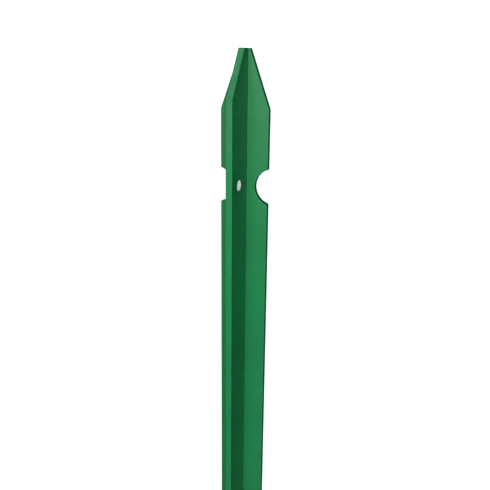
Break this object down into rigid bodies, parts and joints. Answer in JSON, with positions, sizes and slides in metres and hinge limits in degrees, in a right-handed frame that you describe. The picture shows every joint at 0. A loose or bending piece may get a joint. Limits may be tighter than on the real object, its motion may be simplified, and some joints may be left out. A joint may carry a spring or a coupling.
{
  "type": "t fence post",
  "caption": "T-section steel fence post with a green coat, a sheared point, a round notch in each flange toe and a punched wire hole in the stem.",
  "frame": {"origin": "on the flat back of the flange, under the stem, midway along the post", "axes": "+X across the flange, +Y along the post towards its point, +Z from the flange back up the stem"},
  "size_m": [0.03, 1.5, 0.03],
  "materials": {
    "green_coat": "satin"
  },
  "bodies": {
    "root": {"post": "green_coat"}
  },
  "joints": []
}
